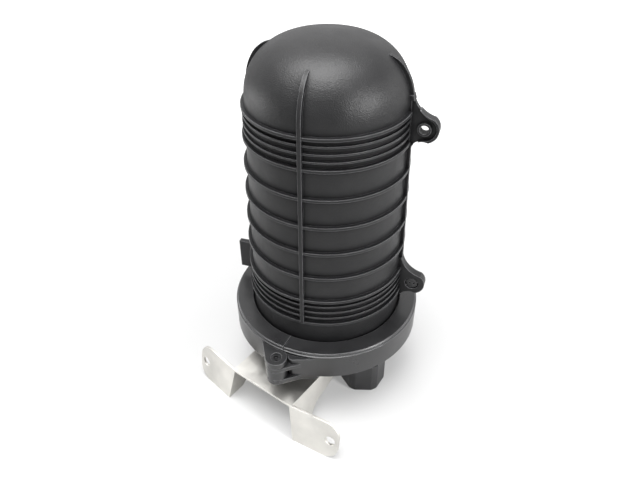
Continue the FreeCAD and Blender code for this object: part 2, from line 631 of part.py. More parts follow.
def knuckle_outline(side):
    """Knuckle and its arm in the hinge's own frame: x outward, the half's own side along y."""
    root = "(Size.flange_radius + Size.clamp_gap + 1)"
    run = "(%d * 2.4 * Size.knuckle_radius)" % side

    def eye(angle):
        return around(HINGE, "Size.knuckle_radius", str(side * angle))

    off = "(Size.hinge_side + %s)" % (side * 0.7)
    start = ("(%s - sqrt(Size.knuckle_radius ^ 2 - %s ^ 2))" % (HINGE_REACH, off), str(side * 0.7))
    return [
        (root, str(side * 0.7)), start + ("Size.knuckle_radius", side), eye(260) + ("Size.knuckle_radius", side),
        eye(360) + ("Size.knuckle_radius", side), eye(409),
        ("sqrt(Size.clamp_outer ^ 2 - %s ^ 2)" % run, run), (root, run),
    ]


def shoulder_outline():
    """Shoulder of the right half: it comes out to the knuckles and runs back into the clamp's wall."""
    root = "(Size.flange_radius + Size.clamp_gap + 1)"
    crest = "(Size.clamp_outer + Size.shoulder_stand)"
    near = "(Size.knuckle_radius - 0.4)"
    run = "sqrt(Size.clamp_outer ^ 2 - Size.shoulder_run ^ 2)"
    return [
        (root, "0.7"), ("(Size.clamp_outer - Size.bead_step)", "0.7"), (crest, near),
        (crest, "(%s + 3)" % near), (run, "Size.shoulder_run"), ("(%s - 3)" % run, "Size.shoulder_run"),
    ]


def knuckle_levels():
    """Lower and upper level of each knuckle, from the lowest up."""
    low = CLAMP_LOW
    levels = []
    for word in ("four", "three", "two", "one"):
        high = "(%s + Size.knuckle_%s)" % (low, word)
        levels.append((low, "(%s - Size.knuckle_gap)" % high if word != "one" else high))
        low = high
    return levels


def make_clamp_half(name, side):
    """Half of the clamp. The right half lies anticlockwise of the hinge and keeps knuckles four and two."""
    body = new_body(name)
    start = "(Size.clamp_turn + Size.split_half)" if side > 0 else "(%s + Size.split_half)" % LATCH_TURN
    profile = draw(body, "profile", "XZ", [clamp_outline()], turn=start)
    revolve(body, "channel", profile, "(180 - 2 * Size.split_half)")
    levels = knuckle_levels()
    own = (0, 2) if side > 0 else (1, 3)
    if side > 0:
        sketch = draw(body, "shoulder_profile", "XY", [shoulder_outline()], level=CLAMP_LOW, turn="Size.clamp_turn")
        pad(body, "shoulder", sketch, "Size.shoulder_tall")
    for index, (low, high) in enumerate(levels):
        if index in own:
            outline = knuckle_outline(side)
            sketch = draw(body, "knuckle_%d_profile" % index, "XY", [outline], level=low, turn="Size.clamp_turn")
            pad(body, "knuckle_%d" % index, sketch, "(%s - %s)" % (high, low))
    if side > 0:
        rim = [HINGE + ("Size.knuckle_radius",)]
        sketch = draw(body, "knuckle_foot_profile", "XY", (), rim, level=CLAMP_LOW, turn="Size.clamp_turn")
        pad(body, "knuckle_foot", sketch, "Size.knuckle_foot", Reversed=True, TaperAngle=-45)
    for index, (low, high) in enumerate(levels):
        if index not in own:
            room = [HINGE + ("(Size.knuckle_radius + Size.knuckle_room)",)]
            sketch = draw(body, "room_%d_profile" % index, "XY", (), room, level="(%s - Size.knuckle_gap)" % low,
                          turn="Size.clamp_turn")
            cut(body, "room_%d" % index, sketch, "(%s - %s + 2 * Size.knuckle_gap)" % (high, low), Reversed=True)
    bore = [HINGE + ("(Size.hinge_pin + Size.running_room)",)]
    cut(body, "pin_hole", draw(body, "pin_hole_profile", "XY", (), bore, turn="Size.clamp_turn"), Midplane=True)
    return body


def make_clamp_right():
    body = make_clamp_half("clamp_right", 1)
    wire = "(Size.bail_wire + 0.25)"
    floor = "(%s - Size.bail_wire - 2.6)" % CATCH_REACH
    foot = "(%s - %s * 1.4142 + Size.catch_side)" % (CATCH_REACH, wire)
    root = "(Size.flange_radius + Size.clamp_gap + 1)"
    top = "(%s + 2)" % CATCH_REACH
    outline = [
        (root, "(-Size.catch_side - 7)"), (floor, "(-Size.catch_side - 7)"), (floor, "(%s - %s)" % (floor, foot)),
        (top, "(%s - %s)" % (top, foot)), (top, "(%s - %s + 2.4)" % (top, foot)),
        ("(Size.clamp_outer - 1)", "(-Size.catch_side + 14)"), (root, "(-Size.catch_side + 14)"),
    ]
    half = "(Size.handle_half)"
    sketch = draw(body, "catch_profile", "XY", [outline], level="(%s - %s)" % (CLAMP_MIDDLE, half), turn=LATCH_TURN)
    pad(body, "catch", sketch, "(2 * %s)" % half)
    return body


def make_clamp_left():
    body = make_clamp_half("clamp_left", -1)
    top = knuckle_levels()[-1][1]
    sink = [HINGE + ("(Size.hinge_head + 0.3)",)]
    cut(body, "sink", draw(body, "sink_profile", "XY", (), sink, level=top, turn="Size.clamp_turn"),
        "(Size.hinge_head_tall + Size.hinge_head_drop + Size.fit_room)")
    root = "(Size.flange_radius + Size.clamp_gap + 1)"
    near, far = "(Size.latch_side - Size.latch_eye)", "(Size.latch_side + Size.latch_eye)"
    outline = [
        (root, "(%s - 4)" % near), (LATCH_REACH, near, "Size.latch_eye", 1),
        ("(%s + Size.latch_eye)" % LATCH_REACH, "Size.latch_side", "Size.latch_eye", 1),
        (LATCH_REACH, far), (root, far),
    ]
    sketch = draw(body, "latch_lug_profile", "XY", [outline], level="(%s - Size.latch_lug)" % CLAMP_MIDDLE,
                  turn=LATCH_TURN)
    pad(body, "latch_lug", sketch, "(2 * Size.latch_lug)")
    hole = [(LATCH_REACH, "Size.latch_side", "(Size.handle_pin + Size.running_room)")]
    sketch = draw(body, "latch_hole_profile", "XY", (), hole, level=CLAMP_MIDDLE, turn=LATCH_TURN)
    cut(body, "latch_hole", sketch, "(4 * Size.latch_lug)", Midplane=True)
    return body


def make_hinge_pin():
    """Socket-head pin, its head sunk in the top knuckle."""
    body = new_body("hinge_pin")
    place = HINGE
    top = "(%s - Size.hinge_head_drop)" % knuckle_levels()[-1][1]
    shank_top = "(%s - Size.hinge_head_tall)" % top
    shank = draw(body, "shank_profile", "XY", (), [place + ("Size.hinge_pin",)], level="(%s + 0.5)" % CLAMP_LOW,
                 turn="Size.clamp_turn")
    pad(body, "shank", shank, "(%s - %s)" % (shank_top, CLAMP_LOW))
    head = draw(body, "head_profile", "XY", (), [place + ("Size.hinge_head",)], level=shank_top, turn="Size.clamp_turn")
    pad(body, "head", head, "Size.hinge_head_tall")
    socket = [around(place, "(Size.hinge_head * 0.55)", str(60 * index)) for index in range(6)]
    cut(body, "socket", draw(body, "socket_profile", "XY", [socket], level=top, turn="Size.clamp_turn"),
        "(Size.hinge_head_tall * 0.6)")
    return body


def make_latch_handle():
    """Fork round the latch lug, with a curved grip that lies along the clamp."""
    body = new_body("latch_handle")
    outer = "(%s + Size.handle_wall)" % HANDLE_INNER
    low = "(%s - Size.handle_half)" % CLAMP_MIDDLE
    high = "(%s + Size.handle_half)" % CLAMP_MIDDLE
    grip = draw(body, "grip_profile", "XZ", [box_outline(HANDLE_INNER, outer, low, high)],
                turn="(%s + 17.5)" % LATCH_TURN)
    revolve(body, "grip", grip, "30")
    eye = "Size.latch_eye"
    bend = polar("(%s + Size.handle_wall / 2)" % HANDLE_INNER, "19")
    outline = [
        (LATCH_REACH, "(Size.latch_side - %s)" % eye, eye, 1),
        ("(%s + %s)" % (LATCH_REACH, eye), "Size.latch_side"),
        ("(%s + %s)" % (LATCH_REACH, eye), "Size.bail_side"),
        polar(outer, "17.6"), bend, polar(HANDLE_INNER, "17.6"),
        ("(%s - %s)" % (LATCH_REACH, eye), "Size.bail_side"),
        ("(%s - %s)" % (LATCH_REACH, eye), "Size.latch_side", eye, 1),
    ]
    fork = draw(body, "fork_profile", "XY", [outline], level=low, turn=LATCH_TURN)
    pad(body, "fork", fork, "(2 * Size.handle_half)")
    slot_far = "(Size.latch_side + Size.latch_eye + 1.5)"
    slot = box_outline("(Size.clamp_outer - 4)", "(%s + 2 * %s)" % (LATCH_REACH, eye),
                       "(Size.latch_side - 2 * %s)" % eye, slot_far)
    sketch = draw(body, "slot_profile", "XY", [slot], level="(%s - Size.latch_lug - 0.4)" % CLAMP_MIDDLE,
                  turn=LATCH_TURN)
    cut(body, "slot", sketch, "(2 * Size.latch_lug + 0.8)", Reversed=True)
    holes = [(LATCH_REACH, "Size.latch_side", "(Size.handle_pin + Size.running_room)"),
             (BAIL_REACH, "Size.bail_side", "(Size.bail_wire + Size.running_room)")]
    sketch = draw(body, "holes_profile", "XY", (), holes, level=CLAMP_MIDDLE, turn=LATCH_TURN)
    cut(body, "holes", sketch, "(4 * Size.handle_half)", Midplane=True)
    return body


def make_handle_pin():
    body = new_body("handle_pin")
    place = (LATCH_REACH, "Size.latch_side", "Size.handle_pin")
    sketch = draw(body, "profile", "XY", (), [place], level="(%s - Size.handle_half)" % CLAMP_MIDDLE, turn=LATCH_TURN)
    pad(body, "rod", sketch, "(2 * Size.handle_half + 0.4)")
    return body


def make_latch_bail():
    """Wire bail: two in-turned ends in the handle, two side rods and the crossbar behind the catch."""
    half, wire = value("Size.bail_half"), value("Size.bail_wire")
    inner = value("Size.latch_lug") + 0.9
    turn = math.radians(value(LATCH_TURN))
    middle = value(CLAMP_MIDDLE)

    def place(outward, sideways, up):
        return FreeCAD.Vector(outward * math.cos(turn) - sideways * math.sin(turn),
                              outward * math.sin(turn) + sideways * math.cos(turn), middle + up)

    pivot = (value(BAIL_REACH), value("Size.bail_side"))
    bar = (value(CATCH_REACH), -value("Size.catch_side"))
    corners = [place(*pivot, inner), place(*pivot, half), place(*bar, half),
               place(*bar, -half), place(*pivot, -half), place(*pivot, -inner)]
    bend = 1.3 * wire
    edges = []
    last = corners[0]
    for before, corner, after in zip(corners, corners[1:], corners[2:]):
        back, on = (before - corner).normalize(), (after - corner).normalize()
        turn_half = back.getAngle(on) / 2
        reach = bend / math.tan(turn_half)
        centre = corner + (back + on).normalize() * (bend / math.sin(turn_half))
        start, end = corner + back * reach, corner + on * reach
        crown = centre + (corner - centre).normalize() * bend
        edges += [Part.LineSegment(last, start).toShape(), Part.Arc(start, crown, end).toShape()]
        last = end
    edges.append(Part.LineSegment(last, corners[-1]).toShape())
    path = Part.Wire(edges)
    section = Part.Wire(Part.makeCircle(wire, corners[0], corners[1] - corners[0]))
    made = doc.addObject("Part::Feature", "latch_bail")
    made.Label = "latch_bail"
    made.Shape = path.makePipeShell([section], True, True)
    made.Placement = AXIS
    return made


# Cable ports: nut, seal and blanking plug of each round port, and the oval port's cap


def make_port_nuts():
    body = new_body("port_nuts")
    half_flat = "sqrt(Size.nut_round ^ 2 - (Size.nut_flats / 2) ^ 2)"
    outlines = []
    for index, centre in enumerate(port_centres()):
        outline = []
        for flat in range(6):
            angle = "(Size.port_turn + %d * Size.port_step + %d)" % (index, 60 * flat + 10)
            middle = around(centre, "(Size.nut_flats / 2)", angle)
            along = polar(half_flat, "(%s + 90)" % angle)
            outline.append(("(%s - %s)" % (middle[0], along[0]), "(%s - %s)" % (middle[1], along[1])))
            outline.append(("(%s + %s)" % (middle[0], along[0]), "(%s + %s)" % (middle[1], along[1]),
                            "Size.nut_round", 1))
        outlines.append(outline)
    made = pad(body, "hexagons", draw(body, "hexagon_profile", "XY", outlines), "Size.nut_height")
    doc.recompute()
    rims = ["Edge%d" % (number + 1) for number, edge in enumerate(made.Shape.Edges)
            if max(vertex.Z for vertex in edge.Vertexes) < 0.01]
    bevel = body.newObject("PartDesign::Chamfer", "port_nuts_bevel")
    bevel.Base = (made, rims)
    bevel.setExpression("Size", "Size.nut_bevel")
    threads = [(x, y, "(Size.port_outer + Size.fit_room)") for x, y in port_centres()]
    cut(body, "threads", draw(body, "thread_profile", "XY", (), threads, level="Size.nut_height"),
        "(Size.nut_height - Size.nut_floor)")
    ways = [(x, y, "(Size.cable_radius + Size.fit_room)") for x, y in port_centres()]
    cut(body, "ways", draw(body, "way_profile", "XY", (), ways), Midplane=True)
    return body


def make_port_seals():
    body = new_body("port_seals")
    outer = [(x, y, "Size.port_outer") for x, y in port_centres()]
    pad(body, "rings", draw(body, "ring_profile", "XY", (), outer, level="Size.nut_floor"),
        "(Size.port_rise - Size.nut_floor)")
    ways = [(x, y, "(Size.cable_radius + Size.fit_room)") for x, y in port_centres()]
    cut(body, "ways", draw(body, "way_profile", "XY", (), ways), Midplane=True)
    return body


def make_port_blanks():
    body = new_body("port_blanks")
    plugs = [(x, y, "Size.cable_radius") for x, y in port_centres()]
    pad(body, "plugs", draw(body, "plug_profile", "XY", (), plugs, level="1"), "Size.blank_length")
    heads = [(x, y, "(Size.cable_radius + 3)") for x, y in port_centres()]
    pad(body, "heads", draw(body, "head_profile", "XY", (), heads, level="(Size.port_rise + 0.1)"), "4")
    return body


def make_oval_port_cap():
    body = new_body("oval_port_cap")
    outer = "(Size.oval_radius + Size.fit_room + 3)"
    low = "(Size.oval_rise - 3)"
    pad(body, "shell", draw(body, "shell_profile", "XY", [oval_outline(outer)], level=low), "Size.cap_height")
    room = "(Size.oval_radius + Size.fit_room)"
    cut(body, "room", draw(body, "room_profile", "XY", [oval_outline(room)], level="(%s + Size.cap_height)" % low),
        "(Size.cap_height - 3)")
    return body


# Bracket: one folded sheet with a plate, two leaning legs and two ears


def leg_section(side):
    """Leg and ear cut level at the floor, seen from above."""
    foot_x, foot_y = "(Size.plate_half + Size.leg_splay)", "(-Size.plate_front - Size.leg_lean)"
    turned_x, turned_y = "cos(Size.ear_turn)", "sin(Size.ear_turn)"
    inner = "(%s - Size.sheet)" % foot_x
    behind = "(%s + Size.sheet / cos(Size.ear_turn))" % foot_y
    back = "(-Size.plate_back - Size.leg_lean)"
    length = "((Size.ear_reach - Size.plate_half + 2) / %s)" % turned_x
    end = ("(%s + %s * %s)" % (foot_x, length, turned_x), "(%s + %s * %s)" % (foot_y, length, turned_y))
    tip = ("(%s - Size.sheet * %s)" % (end[0], turned_y), "(%s + Size.sheet * %s)" % (end[1], turned_x))
    corners = [
        (inner, "(%s - Size.sheet * tan(Size.ear_turn))" % foot_y), end, tip, (foot_x, behind), (foot_x, back),
        (inner, back),
    ]
    if side < 0:
        corners = [("(-%s)" % x, y) for x, y in reversed(corners)]
    return corners


def make_bracket():
    body = new_body("bracket")
    for word, side in (("left", -1), ("right", 1)):
        sketch = draw(body, word + "_section", "XY", [leg_section(side)])
        leg = pad(body, word + "_leg", sketch, "Size.stand_height")
        leg.UseCustomVector = True
        leg.AlongSketchNormal = True
        leg.setExpression("Direction.x", "%d * Size.leg_splay" % -side)
        leg.setExpression("Direction.y", "Size.leg_lean")
        leg.setExpression("Direction.z", "Size.stand_height")
    half = "(Size.plate_half - Size.sheet / 2)"
    plate = box_outline("(-%s)" % half, half, "(-Size.plate_front)", "(-Size.plate_back)")
    pad(body, "plate", draw(body, "plate_profile", "XY", [plate], level="(Size.stand_height - Size.sheet)"),
        "Size.sheet")
    heel = "(-Size.leg_heel)"
    back = "(-Size.plate_back - Size.leg_lean)"
    edge = [
        (heel, "-1"), ("0", "-1"), ("0", "Size.leg_rise"), (back, "Size.leg_rise"),
        ("(-Size.leg_knee)", "Size.leg_knee_level"),
    ]
    cut(body, "leg_edge", draw(body, "leg_edge_profile", "YZ", [edge]), Midplane=True)
    start = "(Size.ear_reach - Size.ear_corner)"
    beyond = "(Size.ear_reach + 30)"
    over = "(Size.stand_height + 9)"
    for word, sign in (("left", -1), ("right", 1)):
        outline = [
            (start, "Size.stand_height", "Size.ear_corner", -sign),
            ("Size.ear_reach", "(Size.stand_height - Size.ear_corner)"),
            ("Size.ear_reach", "Size.ear_corner", "Size.ear_corner", -sign),
            (start, "0"), (start, "(-9)"), (beyond, "(-9)"), (beyond, over), (start, over),
        ]
        outline = [("(%d * %s)" % (sign, corner[0]),) + corner[1:] for corner in outline]
        cut(body, word + "_ear_end", draw(body, word + "_ear_profile", "XZ", [outline]), Midplane=True)
    holes = [("(-Size.ear_hole_side)", "Size.ear_hole_level", "Size.ear_hole"),
             ("Size.ear_hole_side", "Size.ear_hole_level", "Size.ear_hole")]
    cut(body, "ear_holes", draw(body, "ear_holes_profile", "XZ", (), holes), Midplane=True)
    screws = [(x, y, "(Size.screw_radius + 0.3)") for x, y in screw_places()]
    cut(body, "screw_holes", draw(body, "screw_holes_profile", "XY", (), screws, level="Size.stand_height"),
        "(2 * Size.sheet)")
    return body


# Small fasteners


def make_bracket_screws():
    solids = []
    plate_low = value("Size.stand_height - Size.sheet")
    head_top = plate_low - value("Size.washer_wall")
    head_low = head_top - value("Size.screw_head")
    for x, y in screw_places():
        at = (value(x), value(y))
        shank = rod(value("Size.screw_radius"), head_top, head_top + value("Size.screw_length"), *at)
        solids.append(hexagon(value("Size.screw_flats"), head_low, head_top, *at).fuse(shank))
    group("bracket_screws", solids)


def make_bracket_washers():
    solids = []
    top = value("Size.stand_height - Size.sheet")
    low = top - value("Size.washer_wall")
    for x, y in screw_places():
        at = (value(x), value(y))
        disc = rod(value("Size.washer_radius"), low, top, *at)
        solids.append(disc.cut(rod(value("Size.screw_radius") + 0.2, low - 1, top + 1, *at)))
    group("bracket_washers", solids)


def make_small_screws():
    places = small_screw_places()
    seat = value("%s + Size.frame_sheet" % SEAM)
    for name, pair in (("frame_screws", places[:2]), ("clamp_screws", places[2:])):
        solids = []
        for x, y in pair:
            at = (value(x), value(y))
            length = value("Size.small_length") - 0.2
            shank = rod(value("Size.small_screw"), seat - value("Size.frame_sheet") - length, seat, *at)
            head = rod(value("Size.small_head"), seat, seat + 2.4, *at)
            slot = Part.makeBox(8, 1, 1.2, FreeCAD.Vector(at[0] - 4, at[1] - 0.5, seat + 1.2))
            solids.append(head.fuse(shank).cut(slot))
        group(name, solids)


def make_lug_plug():
    """Round plug in the lower lug, its heads sunk in the lug's counterbores, two spanner holes in the front one."""
    body = new_body("lug_plug")
    level = "(%s + Size.low_lug_level)" % SEAM
    place = ("Size.low_lug_reach", level)
    shank = draw(body, "shank_profile", "XZ", (), [place + ("(Size.lug_hole - Size.fit_room)",)], turn="Size.fin_turn")
    pad(body, "shank", shank, "(Size.lug_width - 2 * Size.lug_sink + 2)", Midplane=True)
    for word, side in (("front", "1"), ("back", "-1")):
        off = "(%s * (Size.lug_width / 2 - Size.lug_sink + Size.fit_room))" % side
        head = draw(body, word + "_head_profile", "XZ", (), [place + ("Size.plug_head",)], level=off,
                    turn="Size.fin_turn")
        pad(body, word + "_head", head, "1.8", Reversed=side == "-1")
    face = "(Size.lug_width / 2 - Size.lug_sink + Size.fit_room + 1.8)"
    dimples = [("(Size.low_lug_reach %s Size.plug_head * 0.4)" % sign, level, "Size.plug_dimple") for sign in "-+"]
    sketch = draw(body, "dimple_profile", "XZ", (), dimples, level=face, turn="Size.fin_turn")
    cut(body, "dimples", sketch, "1.2")
    return body


# Inside: frame, tray holder, trays, lid, strap, basket and cable clamps


def make_support_frame():
    """Upright with a foot and folded side edges."""
    body = new_body("support_frame")
    front, back = "Size.frame_front", "(Size.frame_front + Size.frame_sheet)"
    top = "(%s + Size.frame_over)" % TRAY_TOP
    foot = "(%s + Size.frame_foot)" % back
    profile = [(front, SEAM), (foot, SEAM), (foot, "(%s + Size.frame_sheet)" % SEAM),
               (back, "(%s + Size.frame_sheet)" % SEAM), (back, top), (front, top)]
    pad(body, "sheet", draw(body, "profile", "YZ", [profile]), "(2 * Size.frame_half)", Midplane=True)
    holes = [(x, y, "(Size.small_screw + 0.2)") for x, y in small_screw_places()[:2]]
    cut(body, "holes", draw(body, "hole_profile", "XY", (), holes, level="(%s + Size.frame_sheet)" % SEAM),
        "(2 * Size.frame_sheet)")
    windows = []
    for index in range(WINDOWS):
        low = "(%s + Size.window_low + %d * Size.window_pitch)" % (SEAM, index)
        windows.append(rounded_outline("(Size.frame_half - 8)", low, "(%s + Size.window_tall)" % low, "6"))
    cut(body, "windows", draw(body, "window_profile", "XZ", windows), Midplane=True)
    return body


def make_tray_holder():
    body = new_body("tray_holder")
    low = "(%s + Size.holder_low)" % SEAM
    back = "(Size.frame_front - 0.05)"
    front = "(%s - %d * Size.tray_pitch - 4)" % (back, TRAYS)
    outline = box_outline("(-Size.holder_half)", "Size.holder_half", front, back)
    pad(body, "block", draw(body, "profile", "XY", [outline], level=low), "Size.holder_tall")
    inner = "(Size.holder_half - Size.holder_wall)"
    room = box_outline("(-%s)" % inner, inner, "(%s - 1)" % front, "(%s - 1.8)" % back)
    top = "(%s + Size.holder_tall)" % low
    cut(body, "room", draw(body, "room_profile", "XY", [room], level=top), "(Size.holder_tall - 4)")
    pins = [(tray_middle(index), "(%s + Size.tray_pin_level)" % SEAM, "(Size.tray_pin + Size.running_room)")
            for index in range(TRAYS)]
    cut(body, "pin_holes", draw(body, "pin_profile", "YZ", (), pins), Midplane=True)
    cut(body, "wire_way", draw(body, "wire_way_profile", "XY", (), [("0", "-6", "8")]), Midplane=True)
    return body


def tray_middle(index):
    """Distance of a tray's middle plane from the axis, counted from the rear tray."""
    return "(Size.frame_front - 2 - Size.tray_deep / 2 - %d * Size.tray_pitch)" % index


def make_tray(index):
    """Splice tray: rounded dish with a splice comb, two fibre islands and a hinge tongue."""
    body = new_body("tray_%d" % (index + 1))
    rear = "(-(%s + Size.tray_deep / 2))" % tray_middle(index)
    front = "(-(%s - Size.tray_deep / 2))" % tray_middle(index)
    low = "(%s + Size.tray_level)" % SEAM
    high = "(%s + Size.tray_tall)" % low
    outline = rounded_outline("Size.tray_half", low, high, "Size.tray_corner")
    pad(body, "dish", draw(body, "profile", "XZ", [outline], level=rear), "Size.tray_deep")
    wall = "Size.tray_wall"
    room = rounded_outline("(Size.tray_half - %s)" % wall, "(%s + %s)" % (low, wall), "(%s - %s)" % (high, wall),
                           "(Size.tray_corner - %s)" % wall)
    cut(body, "room", draw(body, "room_profile", "XZ", [room], level=front), "(Size.tray_deep - %s)" % wall)
    floor = "(%s + %s)" % (rear, wall)
    comb_low = "(%s + Size.tray_tall / 2 - 22)" % low
    comb_high = "(%s + Size.tray_tall / 2 + 22)" % low
    ribs = []
    for rib in range(SPLICE_RIBS):
        place = "(%d * 5)" % (2 * rib - SPLICE_RIBS + 1)
        ribs.append(box_outline("(%s - 0.8)" % place, "(%s + 0.8)" % place, comb_low, comb_high))
    pad(body, "comb", draw(body, "comb_profile", "XZ", ribs, level=floor), "(Size.tray_deep - %s - 3)" % wall)
    islands = []
    for word in (36, 154):
        middle = "(%s + Size.tray_tall * %d / 190)" % (low, word)
        islands.append(("0", middle, "22"))
        islands.append(("0", middle, "20.6"))
    pad(body, "islands", draw(body, "island_profile", "XZ", (), islands, level=floor),
        "(Size.tray_deep - %s - 1)" % wall)
    tongue_low = "(%s + Size.tray_pin_level - 4)" % SEAM
    tongue = box_outline("(-Size.tongue_half)", "Size.tongue_half", tongue_low, "(%s + 1)" % low)
    level = "(-(%s + Size.tongue_deep / 2))" % tray_middle(index)
    pad(body, "tongue", draw(body, "tongue_profile", "XZ", [tongue], level=level), "Size.tongue_deep")
    pin = [(tray_middle(index), "(%s + Size.tray_pin_level)" % SEAM, "(Size.tray_pin + Size.running_room)")]
    cut(body, "pin_hole", draw(body, "pin_profile", "YZ", (), pin), Midplane=True)
    return body


def make_tray_pins():
    solids = []
    half = value("Size.holder_half") - 0.2
    level = value("%s + Size.tray_pin_level" % SEAM)
    for index in range(TRAYS):
        start = FreeCAD.Vector(-half, value(tray_middle(index)), level)
        solids.append(Part.makeCylinder(value("Size.tray_pin"), 2 * half, start, FreeCAD.Vector(1, 0, 0)))
    group("tray_pins", solids)


def make_tray_cover():
    body = new_body("tray_cover")
    low = "(%s + Size.tray_level)" % SEAM
    outline = rounded_outline("Size.tray_half", low, "(%s + Size.tray_tall)" % low, "Size.tray_corner")
    level = "(-(%s - Size.tray_deep / 2 - Size.fit_room))" % tray_middle(TRAYS - 1)
    pad(body, "lid", draw(body, "profile", "XZ", [outline], level=level), "Size.cover_sheet")
    return body


def make_tray_strap():
    body = new_body("tray_strap")
    half = "(Size.tray_half + 0.2)"
    front = "(%s - Size.tray_deep / 2 - Size.cover_sheet - 0.3)" % tray_middle(TRAYS - 1)
    back = "(Size.frame_front + Size.frame_sheet + 0.2)"
    level = "(%s - Size.strap_drop)" % TRAY_TOP
    inner = box_outline("(-%s)" % half, half, front, back)
    thick = "Size.strap_sheet"
    outer = box_outline("(-%s - %s)" % (half, thick), "(%s + %s)" % (half, thick), "(%s - %s)" % (front, thick),
                        "(%s + %s)" % (back, thick))
    pad(body, "band", draw(body, "profile", "XY", [outer, inner], level=level), "Size.strap_wide")
    return body


def make_loop_basket():
    """Open dish behind the frame, with retaining tabs, fixed flat against the upright."""
    body = new_body("loop_basket")
    front = "(-(Size.frame_front + Size.frame_sheet + 0.05))"
    low = "(%s + Size.basket_level)" % SEAM
    high = "(%s + Size.basket_tall)" % low
    outline = rounded_outline("Size.basket_half", low, high, "20")
    pad(body, "dish", draw(body, "profile", "XZ", [outline], level=front), "Size.basket_deep", Reversed=True)
    wall = "Size.basket_wall"
    room = rounded_outline("(Size.basket_half - %s)" % wall, "(%s + %s)" % (low, wall), "(%s - %s)" % (high, wall),
                           "(20 - %s)" % wall)
    cut(body, "room", draw(body, "room_profile", "XZ", [room], level="(%s - Size.basket_deep)" % front),
        "(Size.basket_deep - %s)" % wall, Reversed=True)
    return body


def make_cable_clamps():
    """Two angle pieces beside the front ports that hold the cables' strength members."""
    solids = []
    seam, thick = value(SEAM), value("Size.frame_sheet")
    middle, half = value(GRIP_MIDDLE), value("Size.grip_half")
    side, foot, tall = value("Size.grip_side"), value("Size.grip_foot"), value("Size.grip_tall")
    screw_x = value(small_screw_places()[3][0])
    for sign in (-1, 1):
        low_x = side - foot if sign > 0 else -side
        base = Part.makeBox(foot, 2 * half, thick, FreeCAD.Vector(low_x, middle - half, seam))
        wall_x = side - thick if sign > 0 else -side
        wall = Part.makeBox(thick, 2 * half, tall, FreeCAD.Vector(wall_x, middle - half, seam))
        hole = rod(value("Size.small_screw") + 0.2, seam - 1, seam + thick + 1, sign * screw_x, middle)
        eye = Part.makeCylinder(2.6, 4 * thick, FreeCAD.Vector(wall_x - thick, middle, seam + tall - 6),
                                FreeCAD.Vector(1, 0, 0))
        solids.append(base.fuse(wall).cut(hole).cut(eye).removeSplitter())
    group("cable_clamps", solids)


make_dome()
make_base()
make_base_seal()
make_clamp_right()
make_clamp_left()
make_hinge_pin()
make_latch_handle()
make_handle_pin()
make_latch_bail()
make_port_nuts()
make_port_seals()
make_port_blanks()
make_oval_port_cap()
make_bracket()
make_bracket_screws()
make_bracket_washers()
make_small_screws()
make_lug_plug()
make_support_frame()
make_tray_holder()
for number in range(TRAYS):
    make_tray(number)
make_tray_pins()
make_tray_cover()
make_tray_strap()
make_loop_basket()
make_cable_clamps()
doc.recompute()

# Every object has to be sound before anything is written

pieces = [o for o in doc.Objects if o.TypeId == "PartDesign::Body" or o.TypeId == "Part::Feature"]
for made in doc.Objects:
    if "Invalid" in made.State or "Error" in made.State:
        raise RuntimeError("%s did not recompute: %s" % (made.Label, made.State))
for piece in pieces:
    if piece.Shape.isNull() or not piece.Shape.isValid() or not piece.Shape.Solids:
        raise RuntimeError(piece.Label + " has no sound solid")

os.makedirs("parts", exist_ok=True)
for piece in pieces:
    piece.Shape.exportStep(os.path.join("parts", piece.Label + ".step"))
    box = piece.Shape.BoundBox
    print("%-16s %2d solid(s) %9.0f mm3  x %.1f..%.1f  y %.1f..%.1f  z %.1f..%.1f" % (
        piece.Label, len(piece.Shape.Solids), piece.Shape.Volume, box.XMin, box.XMax, box.YMin, box.YMax, box.ZMin,
        box.ZMax))
whole = Part.makeCompound([piece.Shape for piece in pieces]).BoundBox
print("whole: x %.2f..%.2f  y %.2f..%.2f  z %.2f..%.2f" % (
    whole.XMin, whole.XMax, whole.YMin, whole.YMax, whole.ZMin, whole.ZMax))
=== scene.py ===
import bpy
from mathutils import Matrix, Vector

# Dome splice closure, dressed for the studio: black grained mouldings, a stainless bracket, a white floor.
# All lengths are in metres.

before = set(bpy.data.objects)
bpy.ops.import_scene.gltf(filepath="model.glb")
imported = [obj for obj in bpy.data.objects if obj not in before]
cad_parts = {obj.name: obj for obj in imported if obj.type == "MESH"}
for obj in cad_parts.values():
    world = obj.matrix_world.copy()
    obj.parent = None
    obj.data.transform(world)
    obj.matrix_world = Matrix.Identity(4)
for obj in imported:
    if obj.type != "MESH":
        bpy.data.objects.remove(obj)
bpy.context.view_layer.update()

# Camera, fitted to the photograph's proportions
CAMERA_PLACE = (0.28395, -0.38180, 0.5335)
CAMERA_FORWARD = (-0.4783, 0.6324, -0.6093)
CAMERA_UP = (-0.3652, 0.4877, 0.7929)
CAMERA_CLIP = 0.01
LENS = 34.05
SENSOR = 36.0

# Floor: glow seen by the camera from near the part to far from it, and glow seen in reflections
FLOOR_SIZE = 16.0
FLOOR_PALE = (0.49, 0.49, 0.49, 1)
FLOOR_REACH = (0.28, 0.95)
FLOOR_GLOW = (0.25, 1.0)
FLOOR_SHINE = 0.14

# World: brightness for the camera and clear pieces, in reflections, and for everything else
WORLD_WHITE = 1.0
WORLD_SHINE = 1.0
WORLD_FILL = 0.08

# Lights: name, place, point aimed at, size and power in watts
LIGHTS = (
    ("top_softbox", (-0.06, -0.20, 1.60), (0, 0, 0.20), (1.3, 1.3), 47.0),
    ("right_box", (1.30, 0.0, 0.62), (0, 0, 0.25), (0.34, 0.34), 15.0),
    ("left_strip", (-1.1, -0.50, 0.12), (0, 0, 0.15), (0.9, 0.24), 3.5),
    ("right_strip", (0.85, 0.95, 0.30), (0, 0, 0.10), (0.4, 1.1), 3.0),
)

